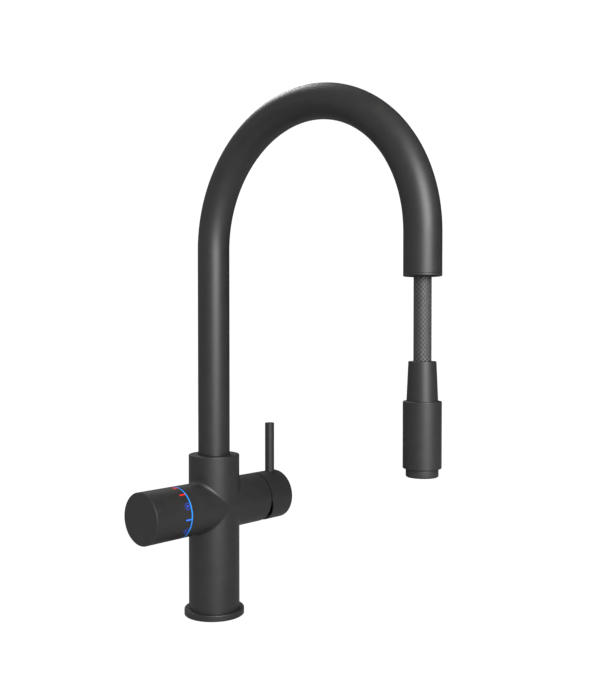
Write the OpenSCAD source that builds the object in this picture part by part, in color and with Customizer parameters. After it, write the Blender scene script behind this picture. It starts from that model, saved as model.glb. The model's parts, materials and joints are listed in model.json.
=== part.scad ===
// Pull-out kitchen tap with a boiling water knob. Millimetres, +Z up, spout towards -Y.
// The origin is on the column's axis, in the plane of the worktop.
// The boiling valve lies along -X, the mixer valve along +X.

/* [Column] */
// Diameter of the column
column_d = 45; // [45:0.5:50]
// Height of the column's flat top
column_h = 142.3; // [128:0.1:170]
// Edge radius of the column's top rim
rim_round = 0.8; // [0.4:0.1:1.2]
// Diameter of the base ring
base_ring_d = 53.2; // [50:0.2:60]
// Height of the base ring
base_ring_h = 5.6; // [4:0.2:10]
// Edge radius of the base ring
base_ring_round = 1; // [0.4:0.1:1.6]
// Diameter of the spigot that stands in the base ring
spigot_d = 41; // [38:0.5:42]
// Thread diameter of the mounting shank's socket
shank_d = 32; // [32:0.5:34]
// Depth of the mounting shank's socket
shank_depth = 20; // [14:1:26]
// Thread diameter of each hose port in the socket's floor
port_d = 8; // [7:0.5:8]
// Depth of the thread in each hose port
port_depth = 12; // [8:1:16]
// Distance of the hose ports from the column's axis
port_pitch_r = 11.6; // [11.4:0.1:11.6]

/* [Valve branches] */
// Distance from the column's top down to the valve axis
axis_drop = 45.6; // [42:0.1:60]
// Diameter of the boiling valve's branch
boil_branch_d = 44.6; // [43:0.1:44.8]
// Distance from the column's axis to the end of the boiling valve's branch
boil_branch_end = 44.2; // [42:0.2:48]
// Diameter of the mixer valve's branch
mixer_branch_d = 44.8; // [43.6:0.1:44.9]
// Distance from the column's axis to the end of the mixer valve's branch
mixer_branch_end = 50.9; // [50.4:0.1:52.4]
// Radius of the fillet where a branch meets the column
saddle_r = 3.5; // [2:0.25:5]
// Depth that the saddle fillet's edges are sunk into the walls
saddle_sink = 0.05; // [0.03:0.01:0.1]

/* [Spout] */
// Outer diameter of the spout tube
spout_d = 28; // [27:0.5:30]
// Wall of the spout tube
spout_wall = 1.2; // [1:0.1:1.4]
// Distance from the column's axis to the outlet's axis
reach = 221.6; // [180:1:260]
// Height of the arch's centre
arch_z = 323.2; // [323.2:0.1:380]
// Height of the outlet's rim
outlet_z = 291.3; // [282:0.1:291.3]
// Chamfer on the outlet's rim
outlet_chamfer = 0.3; // [0.2:0.1:0.6]
// Height of the guide's collar that closes the spout's end
outlet_collar_h = 1.7; // [1.2:0.1:3]
// Length of the spout tube inside the column
tube_seat = 1.6; // [1:0.2:2.2]
// Length of the spout foot's spigot in the tube
foot_spigot = 12; // [8:1:20]

/* [Hose] */
// Outer diameter of the braided hose
hose_d = 12.8; // [11:0.2:13]
// Bore of the hose
hose_bore = 8; // [7.6:0.1:8.4]
// Length of hose that shows between the outlet and the head
hose_shown = 61; // [20:1:61]
// Diameter of the boiling water line inside the hose
line_d = 4.5; // [4:0.1:5]
// Bore of the boiling water line
line_bore = 3; // [2:0.1:3.4]

/* [Spray head] */
// Diameter of the hose cone's top
cone_top_d = 20.2; // [19.8:0.2:21]
// Diameter of the hose cone's foot
cone_foot_d = 22.7; // [22:0.1:23]
// Height of the hose cone
cone_h = 28.7; // [26:0.1:28.7]
// Diameter of the head shell
head_d = 28; // [27:0.5:32]
// Height of the head shell
head_h = 48.4; // [44:0.2:60]
// Wall of the head shell
head_wall = 2.2; // [1.6:0.1:2.4]
// Diameter of the nozzle
nozzle_d = 23.6; // [22.8:0.2:24.4]
// Height of the nozzle neck below the head shell
neck_h = 2.7; // [2:0.1:5]
// Height of the aerator ring below the neck
aerator_ring_h = 3.6; // [3:0.1:5]

/* [Boiling knob] */
// Diameter of the knob
knob_d = 44.6; // [43:0.1:45]
// Distance from the column's axis to the knob's end face
knob_end = 81.7; // [78:0.1:95]
// Wall of the knob shell
knob_wall = 2.6; // [2:0.1:3]
// Width of the coloured indicator ring
indicator_w = 0.9; // [0.6:0.1:1.5]
// Chamfer on the knob's end face
knob_chamfer = 0.5; // [0.3:0.1:1]

/* [Mixer lever] */
// Diameter of the lever cap
cap_d = 44.9; // [43.6:0.1:45.5]
// Distance from the column's axis to the lever cap's end face
cap_end = 79.1; // [78:0.1:90]
// Wall of the lever cap
cap_wall = 2.8; // [2.2:0.1:3]
// Gap between the branch and the upper half of the lever cap
cap_gap = 0.8; // [0.6:0.1:1.2]
// Slant of the lever cap's lower rim, which leaves room for the tilt
cap_slant = 17.5; // [17:0.5:19]
// Diameter of the lever rod
rod_d = 8.7; // [7:0.1:9.2]
// Distance from the column's axis to the lever rod
rod_x = 71.2; // [69:0.1:71.6]
// Height of the lever rod's top above the valve axis
rod_h = 68; // [50:1:110]

/* [Fits] */
// Radial clearance of a running or sliding fit
fit_gap = 0.05; // [0.03:0.01:0.08]
// Clearance between pieces that move past each other
body_gap = 0.3; // [0.3:0.05:0.4]

/* [Hidden] */
$fn = 96;
eps = 0.01;
// Overshoot of the cutting shapes
over = 1;
// Small chamfer that breaks an edge
edge = 0.3;
// Smaller one on both sides of a flush joint, which shows it as a fine line
joint_edge = 0.15;

column_r = column_d / 2;
axis_z = column_h - axis_drop;
spigot_r = spigot_d / 2;
boil_branch_r = min(boil_branch_d / 2, column_r - 0.05);
mixer_branch_r = min(mixer_branch_d / 2, column_r - 0.05);
spout_r = spout_d / 2;
tube_bore_r = spout_r - spout_wall;
hose_r = hose_d / 2;
line_r = line_d / 2;
head_r = head_d / 2;
knob_r = knob_d / 2;
knob_bore_r = knob_r - knob_wall;
cap_r = cap_d / 2;
rod_r = rod_d / 2;
nozzle_r = nozzle_d / 2;

// Column: socket of the spout foot, above the mixer cartridge's chamber
cartridge_r = 17.5;
socket_web = 2.2;
socket_play = 0.4;
socket_r = spout_r + socket_play;
socket_floor = axis_z + cartridge_r + socket_web;
hose_play = 0.3;
hose_way_r = hose_r + body_gap + hose_play;
hose_inset = 2;
hose_foot_z = shank_depth + hose_inset;
port_angles = [0, 56, -56, 140, -140];
port_bore_r = 2.9;
port_cross = 3.5;
// Seam of the column's foot, brazed and ground flush below the coat
port_roof = 3;
foot_top = shank_depth + port_depth + port_roof;
// Depth of the saddle fillet's root in the corner behind it
saddle_root = 1;

// Base ring and its seal
base_ring_r = base_ring_d / 2;
seal_inset = 1.2;
seal_w = 1.6;
seal_h = 1.2;

// Spout foot: its bands, upwards from the socket's floor
foot_play = 0.5;
foot_r = socket_r - foot_play;
foot_bore_r = hose_r + body_gap;
foot_z0 = socket_floor + body_gap;
tube_z0 = column_h - tube_seat;
spout_step = 0.5;
spout_step_h = 0.6;
slide_ring_h = 3.5;
slide_ring_wall = 1.35;
o_ring_d = 1.9;
o_ring_groove_h = 2.1;
stop_screw_d = 5;
stop_screw_len = 6;
stop_tip_d = 2.8;
stop_tip_clear = 0.4;
stop_screw_inset = 0.6;
stop_hex = 2.6;
stop_hex_depth = 2;
stop_slot_h = 3.4;
stop_slot_depth = 2;
swivel_each_way = 75;
// Land between two bands: what the rings, the seals and the slot leave of the foot
foot_land = (tube_z0 - foot_z0 - 2 * slide_ring_h - 2 * o_ring_groove_h - stop_slot_h) / 6;
lower_ring_z = foot_z0 + foot_land;
lower_seal_z = lower_ring_z + slide_ring_h + foot_land;
stop_slot_z = lower_seal_z + o_ring_groove_h + foot_land;
stop_z = stop_slot_z + stop_slot_h / 2;
upper_seal_z = stop_slot_z + stop_slot_h + foot_land;
upper_ring_z = upper_seal_z + o_ring_groove_h + foot_land;
ring_groove_r = socket_r - fit_gap - slide_ring_wall;
seal_groove_r = socket_r - 2 * fit_gap - o_ring_d;
stop_slot_r = foot_r - stop_slot_depth;
// Half the angle of the slot: the swivel and the screw tip's own width
stop_slot_half = swivel_each_way + asin((stop_tip_d / 2 + body_gap) / foot_r);

// Outlet and docking
cone_top_z = outlet_z - hose_shown;
head_top_z = cone_top_z - cone_h;
head_foot_z = head_top_z - head_h;
neck_foot_z = head_foot_z - neck_h;
aerator_foot_z = neck_foot_z - aerator_ring_h;
dock_gap = 1.3;
hose_top_z = outlet_z - body_gap + cone_h + dock_gap;
collar_top_z = outlet_z + outlet_collar_h;
guide_floor = 2.2;
guide_lip_h = 1.7;
guide_lip_wall = 0.6;
guide_mouth_r = tube_bore_r - guide_lip_wall;

// Hose's end inside the cone, downwards from the cone's top
ferrule_wall = 1.1;
ferrule_r = hose_r + ferrule_wall;
throat_h = 5;
throat_play = 0.2;
ferrule_top = cone_top_z - throat_h;
nipple_flange_r = 8.9;
nipple_flange_h = 2.2;
nipple_len = 12;
nipple_wall = 1;
thread_r = nipple_flange_r + body_gap;
spigot_h = 5.4;
spigot_top = head_top_z + spigot_h;
washer_h = 1.5;
nipple_z0 = spigot_top + washer_h + body_gap;
crimp_pitch = 3.2;
crimp_r = 0.9;

// Head: waterway, valve and aerator
core_bore_r = 5;
core_wall_r = 10;
head_deck_h = 3;
check_valve_r = 6.8;
check_valve_h = 15;
check_valve_port_r = 4;
check_valve_port_h = 5;
check_valve_inset = 2;
check_valve_z0 = spigot_top - check_valve_h - check_valve_inset;
head_bore_r = head_r - head_wall;
neck_thread_h = 12;
neck_step = 0.2;
neck_bore_r = core_bore_r + 1;
neck_taper_h = 3;
aerator_r = 8.8;
aerator_play = 0.2;
aerator_bore_r = aerator_r + aerator_play;
skirt_wall = 1.2;
skirt_r = aerator_bore_r + skirt_wall;
aerator_lip_h = 1.2;
aerator_lip_w = 0.8;
aerator_lip_r = aerator_r - aerator_lip_w;
aerator_rise = 3;
aerator_top = neck_foot_z + aerator_rise;
aerator_seal_h = 1.2;
aerator_seal_w = 2;
mesh_r = 0.75;
mesh_pitch = 2.3;
// Edge radii of the head's pieces
head_edge = 0.7;
shell_foot_edge = 0.4;
aerator_ring_edge = 1.1;

// Boiling valve, outwards from the column
boil_web = 3.2;
boil_seat = hose_way_r + boil_web;
boil_body_r = 11;
boil_shoulder = 32;
boil_flange_r = 14.5;
boil_flange_h = 3;
boil_nut_r = 16;
boil_nut_h = 6.4;
boil_nose_r = 9;
boil_side_port_r = 1.6;
boil_waist_r = 9.4;
boil_waist_w = 4;
boil_nose_out = 1.8;
boil_nose_end = boil_branch_end + boil_nose_out;
disc_r = 8.4;
disc_h = 3;
disc_bore_r = disc_r + body_gap;
disc_inset = 1;
disc_sector = 80;
disc_z = boil_seat + disc_inset;
spindle_z = disc_z + 2 * disc_h + fit_gap;
// Waist of the valve, from which the boiling water leaves, and the way from it
boil_waist_in = 2;
boil_waist_z = spindle_z + boil_waist_in;
outlet_way_z = boil_waist_z + boil_waist_w / 2;
outlet_way_drop = 14.5;
outlet_bore_r = 2;
outlet_port = port_pitch_r * [cos(port_angles[4]), sin(port_angles[4])];
outlet_way_r = norm([outlet_way_drop, outlet_port[1]]);
outlet_way_a = atan2(outlet_port[1], -outlet_way_drop);
spindle_flange_r = 7;
spindle_flange_h = 1;
spindle_r = 5;
spline_r = 4;
carrier_clear = 2;
carrier_start = boil_nose_end + carrier_clear;
carrier_flange_h = 8;
carrier_hub_r = 9;
spline_len = 14;
spindle_end = carrier_start + spline_len;
carrier_cap = 4;
carrier_end = spindle_end + carrier_cap;
pocket_r = 3.6;
pocket_pitch_r = 14;
indicator_start = boil_branch_end + body_gap;
knob_start = indicator_start + indicator_w;
knob_end_extra = 0.4;
knob_end_wall = knob_wall + knob_end_extra;
grub_d = 4;
grub_hex = 2;
knob_grub_x = carrier_start + carrier_flange_h / 2;
knob_grub_bite = 2.5;
knob_grub_len = 4;
knob_grub_r = knob_bore_r - knob_grub_bite;

// Mixer valve, outwards from the column
mixer_web = 3;
mixer_seat = hose_way_r + mixer_web;
cartridge_len = 30;
cartridge_top = mixer_seat + cartridge_len;
mixer_port_r = 3;
mixer_port_pitch_r = 9.5;
mixer_port_depth = 7;
port_seal_r = 4.2;
port_seal_h = 1.5;
mixer_nut_step = 1.7;
mixer_nut_r = cartridge_r + mixer_nut_step;
mixer_nut_h = 7.5;
mixer_disc_h = 3.5;
mixer_disc_inset = 6;
disc_port_r = 2;
disc_rim = 0.5;
mixer_disc_r = mixer_port_pitch_r + disc_port_r + disc_rim;
mixing_recess_r = 6.9;
mixing_recess_h = 1.5;
moving_disc_inset = 0.5;
mixer_disc_x = mixer_seat + mixer_disc_inset;
turret_r = 10.9;
turret_start = mixer_disc_x + 2 * mixer_disc_h + 2 * fit_gap;
turret_inset = 0.5;
turret_end = mixer_branch_end - turret_inset;
pivot_inset = 3.4;
pivot_x = turret_end - pivot_inset;
pivot_pin_r = 1.5;
pivot_pin_inset = 0.9;
stem_side = 7;
stem_start = 33;
slot_w = stem_side + 2 * body_gap;
slot_foot_room = 2;
slot_back_room = 3;
slot_top_room = 5;
slot_foot = stem_side / 2 + slot_foot_room;
slot_top = stem_side / 2 + slot_top_room;
key_w = 3;
key_depth = 1.5;

// Tops of the ways up from the hose ports
upper_way_top = axis_z + mixer_port_pitch_r / 2 + mixer_port_r;
port_tops = [axis_z - mixer_port_pitch_r + mixer_port_r, upper_way_top, upper_way_top,
    axis_z - boil_body_r / 2, axis_z - outlet_way_drop + outlet_bore_r];

// Lever cap: hub on the stem, boss of the rod and boss of the grub screw
cap_start = mixer_branch_end + cap_gap;
cap_bore_r = cap_r - cap_wall;
cap_slant_z = 1;
cap_chamfer = 0.5;
cap_lip = 0.9;
cap_mouth_h = 9;
cap_hub_r = 8;
cap_hub_clear = 6.6;
cap_hub_start = turret_end + cap_hub_clear;
stem_grip = 11;
stem_end = cap_hub_start + stem_grip;
cap_grub_x = cap_hub_start + 0.55 * stem_grip;
cap_grub_len = 7;
cap_grub_wall = 1.6;
rod_boss_wall = 1.7;
rod_seat = 5.5;
rod_edge = 0.35;

// Points of an arc about centre c, from angle a0 to a1
function arc(c, r, a0, a1, n = 6) =
    [for (i = [0:n]) let (a = a0 + (a1 - a0) * i / n) c + r * [cos(a), sin(a)]];

// Solid turned about Z from points [radius, height]
module turned(points) rotate_extrude() polygon(points);

// Straight tube about Z
module tube(r_out, r_in, h) difference() {
    cylinder(r = r_out, h = h);
    translate([0, 0, -eps]) cylinder(r = r_in, h = h + 2 * eps);
}

// Cylinder about Z with a chamfer at its top
module cylinder_chamfered(r, h, c)
    turned([[0, 0], [r, 0], [r, h - c], [r - c, h], [0, h]]);

// Hexagon socket cut in a screw's end, c wide across corners
module hex_socket(c, depth) cylinder(d = c, h = depth, $fn = 6);

// Two crossed slots for a pin spanner, in the top of a nut of radius r
module spanner_slots(r, h)
    for (a = [0, 90]) rotate(a) translate([-r, -key_w / 2, h - key_depth])
        cube([2 * r, key_w, key_depth + over]);

// Children stand on the valve axis: Z becomes the distance from the column's axis
module on_boil_axis() translate([0, 0, axis_z]) rotate([0, -90, 0]) children();
module on_mixer_axis() translate([0, 0, axis_z]) rotate([0, 90, 0]) children();

// Children stand on the outlet's axis
module on_outlet(z = 0) translate([0, -reach, z]) children();

// ---------- column ----------

// Column above its foot, with the rounded rim
module column_solid() turned(concat(
    [[0, foot_top], [column_r, foot_top]],
    arc([column_r - rim_round, column_h - rim_round], rim_round, 0, 90),
    [[0, column_h]]
));

// Threads of the hose ports, each with its way up to a valve. The first leads the mixed water
// down from the cartridge's lowest port, the next two bring hot and cold water to the upper
// ones, the fourth brings boiling water to its valve's floor and the last takes it away.
module hose_ports() {
    for (i = [0:4]) rotate(port_angles[i]) translate([port_pitch_r, 0, shank_depth - over]) {
        cylinder(d = port_d, h = port_depth + over);
        cylinder(r = port_bore_r, h = port_tops[i] - shank_depth + over);
    }
    // ways from the cartridge's two upper ports to the hot and cold ways beside the hose
    on_mixer_axis() translate([0, 0, mixer_seat - port_cross]) for (a = [120, 240]) rotate(a)
        translate([mixer_port_pitch_r, 0, 0]) cylinder(r = mixer_port_r, h = port_cross + over);
    // way out of the boiling valve: along the branch below its chamber, then up into it
    on_boil_axis() rotate(outlet_way_a) translate([outlet_way_r, 0, -outlet_port[0]]) {
        cylinder(r = outlet_bore_r, h = outlet_way_z + outlet_port[0] + outlet_bore_r);
        translate([0, 0, outlet_way_z + outlet_port[0]]) rotate([0, -90, 0])
            cylinder(r = outlet_bore_r, h = outlet_way_r - boil_waist_r);
    }
}

// One cross-section of the fillet that a ball of radius saddle_r leaves as it rolls
// round the corner between the column and a branch of radius rb. It is given in the
// branch's frame: x along the branch, y across, z up from the valve axis.
function saddle_section(rb, theta, steps) =
    let (
        y = (rb + saddle_r) * sin(theta),
        h = (rb + saddle_r) * cos(theta),
        x = sqrt(pow(column_r + saddle_r, 2) - y * y),
        centre = [x, y, h],
        to_column = -[x, y, 0] / (column_r + saddle_r),
        to_branch = -[0, y, h] / (rb + saddle_r),
        span = acos(to_column * to_branch),
        root = centre + (saddle_r + saddle_root) * (to_column + to_branch)
    )
    concat([root], [for (k = [0:steps])
        let (
            u = span * k / steps,
            dir = (sin(span - u) * to_column + sin(u) * to_branch) / sin(span),
            sink = k == 0 || k == steps ? saddle_sink : 0
        )
        centre + (saddle_r + sink) * dir]);

// Closed ring of fillet round a branch along +X
module saddle_fillet(rb, turns = 64, steps = 6) {
    n = steps + 2;
    points = [for (t = [0:turns - 1]) each saddle_section(rb, 360 * (t + 0.5) / turns, steps)];
    faces = [for (t = [0:turns - 1], k = [0:n - 1])
        let (a = t * n, b = ((t + 1) % turns) * n, k2 = (k + 1) % n)
        each [[a + k, a + k2, b + k2], [a + k, b + k2, b + k]]];
    polyhedron(points, faces, convexity = 6);
}

module column_body() color([0.13, 0.13, 0.13]) difference() {
    union() {
        column_solid();
        on_boil_axis() cylinder_chamfered(boil_branch_r, boil_branch_end, edge);
        on_mixer_axis() cylinder_chamfered(mixer_branch_r, mixer_branch_end, edge);
        translate([0, 0, axis_z]) rotate(180) saddle_fillet(boil_branch_r);
        translate([0, 0, axis_z]) saddle_fillet(mixer_branch_r);
    }
    // way of the pull-out hose
    cylinder(r = hose_way_r, h = column_h);
    // socket of the spout foot
    translate([0, 0, socket_floor]) cylinder(r = socket_r, h = column_h);
    hose_ports();
    // chamber of the boiling valve, with the nut's thread
    on_boil_axis() translate([0, 0, boil_seat]) cylinder(r = boil_body_r, h = boil_branch_end);
    on_boil_axis() translate([0, 0, boil_shoulder]) cylinder(r = boil_nut_r, h = boil_branch_end);
    // chamber of the mixer cartridge, with the nut's thread
    on_mixer_axis() translate([0, 0, mixer_seat])
        cylinder(r = cartridge_r + fit_gap, h = mixer_branch_end);
    on_mixer_axis() translate([0, 0, cartridge_top]) cylinder(r = mixer_nut_r, h = mixer_branch_end);
    // threaded hole of the stop screw, at the back
    translate([0, 0, stop_z]) rotate([-90, 0, 0]) cylinder(d = stop_screw_d, h = column_d);
}

// Foot of the column: the spigot in the base ring, the shank's socket and the hose ports
module column_foot() color([0.13, 0.13, 0.13]) difference() {
    turned([[0, 0], [spigot_r, 0], [spigot_r, base_ring_h], [column_r, base_ring_h],
        [column_r, foot_top], [0, foot_top]]);
    translate([0, 0, -over]) cylinder(d = shank_d, h = shank_depth + over);
    cylinder(r = hose_way_r, h = column_h);
    hose_ports();
}

module base_ring() color([0.13, 0.13, 0.13]) turned(concat(
    [[spigot_r + fit_gap, 0], [base_ring_r - seal_inset - seal_w, 0],
     [base_ring_r - seal_inset - seal_w, seal_h], [base_ring_r - seal_inset, seal_h],
     [base_ring_r - seal_inset, 0], [base_ring_r - edge, 0], [base_ring_r, edge]],
    arc([base_ring_r - base_ring_round, base_ring_h - base_ring_round], base_ring_round, 0, 90),
    [[spigot_r + fit_gap, base_ring_h]]
));

module base_seal() color([0.05, 0.05, 0.05])
    tube(base_ring_r - seal_inset, base_ring_r - seal_inset - seal_w, seal_h);

// Threaded screw with a plain tip that runs in the spout foot's slot
module spout_stop_screw() color([0.6, 0.6, 0.62])
    translate([0, 0, stop_z]) rotate([-90, 0, 0]) difference() {
        union() {
            translate([0, 0, socket_r + stop_screw_inset]) cylinder(r = stop_screw_d / 2 - fit_gap, h = stop_screw_len);
            translate([0, 0, stop_slot_r + stop_tip_clear]) cylinder(d = stop_tip_d, h = stop_screw_len);
        }
        translate([0, 0, socket_r + stop_screw_len - stop_hex_depth]) hex_socket(stop_hex, stop_screw_len);
    }

// ---------- boiling valve ----------

module boil_valve() color([0.72, 0.58, 0.3]) on_boil_axis() difference() {
    turned([
        [spindle_r + fit_gap, spindle_z + spindle_flange_h + body_gap],
        [disc_bore_r, spindle_z + spindle_flange_h + body_gap],
        [disc_bore_r, boil_seat], [boil_body_r - fit_gap, boil_seat],
        [boil_body_r - fit_gap, boil_waist_z], [boil_waist_r, boil_waist_z],
        [boil_waist_r, boil_waist_z + boil_waist_w], [boil_body_r - fit_gap, boil_waist_z + boil_waist_w],
        [boil_body_r - fit_gap, boil_shoulder], [boil_flange_r, boil_shoulder],
        [boil_flange_r, boil_shoulder + boil_flange_h], [boil_nose_r, boil_shoulder + boil_flange_h],
        [boil_nose_r, boil_nose_end - edge], [boil_nose_r - edge, boil_nose_end],
        [spindle_r + fit_gap, boil_nose_end]
    ]);
    // side ports through which the boiling water leaves the valve
    translate([0, 0, outlet_way_z]) rotate([90, 0, 0])
        cylinder(r = boil_side_port_r, h = 2 * boil_body_r + over, center = true);
}

module boil_nut() color([0.72, 0.58, 0.3]) on_boil_axis()
    translate([0, 0, boil_shoulder + boil_flange_h]) difference() {
        tube(boil_nut_r - fit_gap, boil_nose_r + fit_gap, boil_nut_h);
        spanner_slots(boil_nut_r, boil_nut_h);
    }

// Ceramic disc with two sectors cut for the water
module ceramic_disc(r, h) difference() {
    cylinder(r = r, h = h);
    for (a = [0, 180]) rotate(a) translate([0, 0, -eps]) rotate_extrude(angle = disc_sector)
        translate([0.3 * r, 0]) square([0.45 * r, h + 2 * eps]);
}

module boil_disc_fixed() color([0.93, 0.92, 0.88]) on_boil_axis()
    translate([0, 0, disc_z]) ceramic_disc(disc_bore_r - fit_gap, disc_h);

module boil_disc_turning() color([0.93, 0.92, 0.88]) on_boil_axis()
    translate([0, 0, disc_z + disc_h + fit_gap]) ceramic_disc(disc_r, disc_h);

module boil_spindle() color([0.75, 0.62, 0.35]) on_boil_axis() turned([
    [0, spindle_z], [spindle_flange_r, spindle_z], [spindle_flange_r, spindle_z + spindle_flange_h],
    [spindle_r, spindle_z + spindle_flange_h], [spindle_r, carrier_start - spindle_r + spline_r],
    [spline_r, carrier_start],
    [spline_r, spindle_end - edge], [spline_r - edge, spindle_end], [0, spindle_end]
]);

module knob_carrier() color([0.85, 0.85, 0.82]) on_boil_axis() difference() {
    translate([0, 0, carrier_start]) union() {
        cylinder(r = carrier_hub_r, h = carrier_end - carrier_start);
        cylinder(r = knob_bore_r - fit_gap, h = carrier_flange_h);
    }
    translate([0, 0, carrier_start - eps])
        cylinder(r = spline_r + fit_gap, h = spindle_end - carrier_start + fit_gap);
    // lightening pockets between the webs
    for (a = [30:60:330]) rotate(a) translate([pocket_pitch_r, 0, carrier_start - over])
        cylinder(r = pocket_r, h = carrier_flange_h - over);
    // seat of the grub screw
    translate([0, 0, knob_grub_x]) rotate([0, -90, 0]) translate([0, 0, knob_grub_r])
        cylinder(d = grub_d, h = knob_r);
}

module knob_shell() color([0.13, 0.13, 0.13]) on_boil_axis() difference() {
    turned([
        [knob_bore_r, knob_start], [knob_r, knob_start], [knob_r, knob_end - knob_chamfer],
        [knob_r - knob_chamfer, knob_end], [0, knob_end], [0, knob_end - knob_end_wall],
        [knob_bore_r, knob_end - knob_end_wall]
    ]);
    translate([0, 0, knob_grub_x]) rotate([0, -90, 0]) cylinder(d = grub_d, h = knob_d);
}

// Ring at the knob's mouth, from which the printed marks start
module indicator_ring() color([0.1, 0.5, 0.95]) on_boil_axis()
    translate([0, 0, indicator_start]) tube(knob_r, knob_bore_r, indicator_w);

module knob_grub_screw() color([0.6, 0.6, 0.62]) on_boil_axis()
    translate([0, 0, knob_grub_x]) rotate([0, -90, 0]) translate([0, 0, knob_grub_r]) difference() {
        cylinder(r = grub_d / 2 - fit_gap, h = knob_grub_len);
        translate([0, 0, knob_grub_len - grub_hex]) hex_socket(grub_hex, grub_hex + over);
    }

// ---------- mixer valve and lever ----------

// Places of the hot, cold and mixed water ports in the cartridge's base
module at_ports() for (a = [0:120:240]) rotate(a) translate([mixer_port_pitch_r, 0, 0]) children();

module mixer_cartridge() color([0.9, 0.9, 0.88]) on_mixer_axis() difference() {
    translate([0, 0, mixer_seat]) cylinder(r = cartridge_r, h = cartridge_len);
    // room for the discs and the turret
    translate([0, 0, mixer_disc_x]) {
        cylinder(r = mixer_disc_r + fit_gap, h = turret_start - mixer_disc_x);
        cylinder(r = turret_r + fit_gap, h = cartridge_len);
    }
    translate([0, 0, mixer_seat]) at_ports() {
        translate([0, 0, -over]) cylinder(r = mixer_port_r, h = mixer_port_depth + over);
        translate([0, 0, -over]) cylinder(r = port_seal_r, h = port_seal_h + over);
    }
}

module port_seals() color([0.05, 0.05, 0.05]) on_mixer_axis()
    translate([0, 0, mixer_seat]) at_ports() tube(port_seal_r - fit_gap, mixer_port_r, port_seal_h);

module mixer_disc_fixed() color([0.93, 0.92, 0.88]) on_mixer_axis() translate([0, 0, mixer_disc_x])
    difference() {
        cylinder(r = mixer_disc_r, h = mixer_disc_h);
        translate([0, 0, -over]) at_ports() cylinder(r = disc_port_r, h = mixer_disc_h + 2 * over);
    }

// Disc with a mixing recess in the face that lies on the fixed disc
module mixer_disc_moving() color([0.93, 0.92, 0.88]) on_mixer_axis()
    translate([0, 0, mixer_disc_x + mixer_disc_h + fit_gap]) difference() {
        cylinder(r = turret_r - moving_disc_inset, h = mixer_disc_h);
        translate([0, 0, -over]) cylinder(r = mixing_recess_r, h = mixing_recess_h + over);
    }

module cartridge_nut() color([0.72, 0.58, 0.3]) on_mixer_axis() translate([0, 0, cartridge_top]) difference() {
    tube(mixer_nut_r - fit_gap, turret_r + body_gap, mixer_nut_h);
    spanner_slots(mixer_nut_r, mixer_nut_h);
}

// Turning part of the cartridge: its slot lets the stem tilt
module mixer_turret() color([0.2, 0.2, 0.22]) difference() {
    on_mixer_axis() translate([0, 0, turret_start]) cylinder(r = turret_r, h = turret_end - turret_start);
    translate([stem_start - slot_back_room, -slot_w / 2, axis_z - slot_foot])
        cube([mixer_branch_end, slot_w, slot_foot + slot_top]);
    translate([pivot_x, 0, axis_z]) rotate([90, 0, 0])
        cylinder(r = pivot_pin_r + fit_gap, h = 2 * turret_r, center = true);
}

module pivot_pin() color([0.75, 0.75, 0.77]) translate([pivot_x, 0, axis_z])
    rotate([90, 0, 0]) cylinder(r = pivot_pin_r, h = 2 * (turret_r - pivot_pin_inset), center = true);

module mixer_stem() color([0.75, 0.75, 0.77]) difference() {
    translate([stem_start, -stem_side / 2, axis_z - stem_side / 2])
        cube([stem_end - stem_start, stem_side, stem_side]);
    translate([pivot_x, 0, axis_z]) rotate([90, 0, 0])
        cylinder(r = pivot_pin_r + fit_gap, h = 2 * stem_side, center = true);
}

module lever_cap() color([0.13, 0.13, 0.13]) difference() {
    union() {
        difference() {
            on_mixer_axis() translate([0, 0, cap_start])
                cylinder_chamfered(cap_r, cap_end - cap_start, cap_chamfer);
            on_mixer_axis() translate([0, 0, cap_start - over]) {
                cylinder(r = cap_bore_r, h = cap_end - cap_wall - cap_start + over);
                cylinder(r = cap_r - cap_lip, h = cap_mouth_h + over);
            }
        }
        // hub on the stem
        on_mixer_axis() translate([0, 0, cap_hub_start])
            cylinder(r = cap_hub_r, h = cap_end - cap_wall / 2 - cap_hub_start);
        // boss of the rod
        translate([rod_x, 0, axis_z]) cylinder(r = rod_r + rod_boss_wall, h = cap_bore_r + cap_wall / 2);
        // boss of the grub screw
        translate([cap_grub_x, 0, axis_z - cap_r + cap_wall / 2])
            cylinder(r = grub_d / 2 + cap_grub_wall, h = cap_r - stem_side);
    }
    // slanted lower rim
    translate([cap_start, 0, axis_z + cap_slant_z]) rotate([0, -cap_slant, 0])
        translate([-cap_d, -cap_d, -2 * cap_d]) cube([cap_d, 2 * cap_d, 2 * cap_d]);
    // seats of the stem, the rod and the grub screw
    translate([cap_hub_start - over, -stem_side / 2 - fit_gap, axis_z - stem_side / 2 - fit_gap])
        cube([stem_end + fit_gap - cap_hub_start + over, stem_side + 2 * fit_gap, stem_side + 2 * fit_gap]);
    translate([rod_x, 0, axis_z + rod_seat]) cylinder(r = rod_r + fit_gap, h = cap_d);
    translate([cap_grub_x, 0, axis_z - cap_d]) cylinder(d = grub_d, h = cap_d - stem_side / 2);
}

module lever_rod() color([0.16, 0.15, 0.155]) translate([rod_x, 0, axis_z + rod_seat])
    cylinder_chamfered(rod_r, rod_h - rod_seat, rod_edge);

module lever_grub_screw() color([0.6, 0.6, 0.62])
    translate([cap_grub_x, 0, axis_z - stem_side / 2 - fit_gap - cap_grub_len]) difference() {
        cylinder(r = grub_d / 2 - fit_gap, h = cap_grub_len);
        translate([0, 0, -over]) hex_socket(grub_hex, grub_hex + over);
    }

// ---------- spout ----------

// Sweep along the spout: up, over the arch and down, from height z0 to height z1
module swan_neck(r, bore, z0, z1) difference() {
    union() {
        translate([0, 0, z0]) cylinder(r = r, h = arch_z - z0);
        arch(r);
        on_outlet(z1) cylinder(r = r, h = arch_z - z1);
    }
    translate([0, 0, z0 - over]) cylinder(r = bore, h = arch_z - z0 + over);
    arch(bore);
    on_outlet(z1 - over) cylinder(r = bore, h = arch_z - z1 + over);
}

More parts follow.
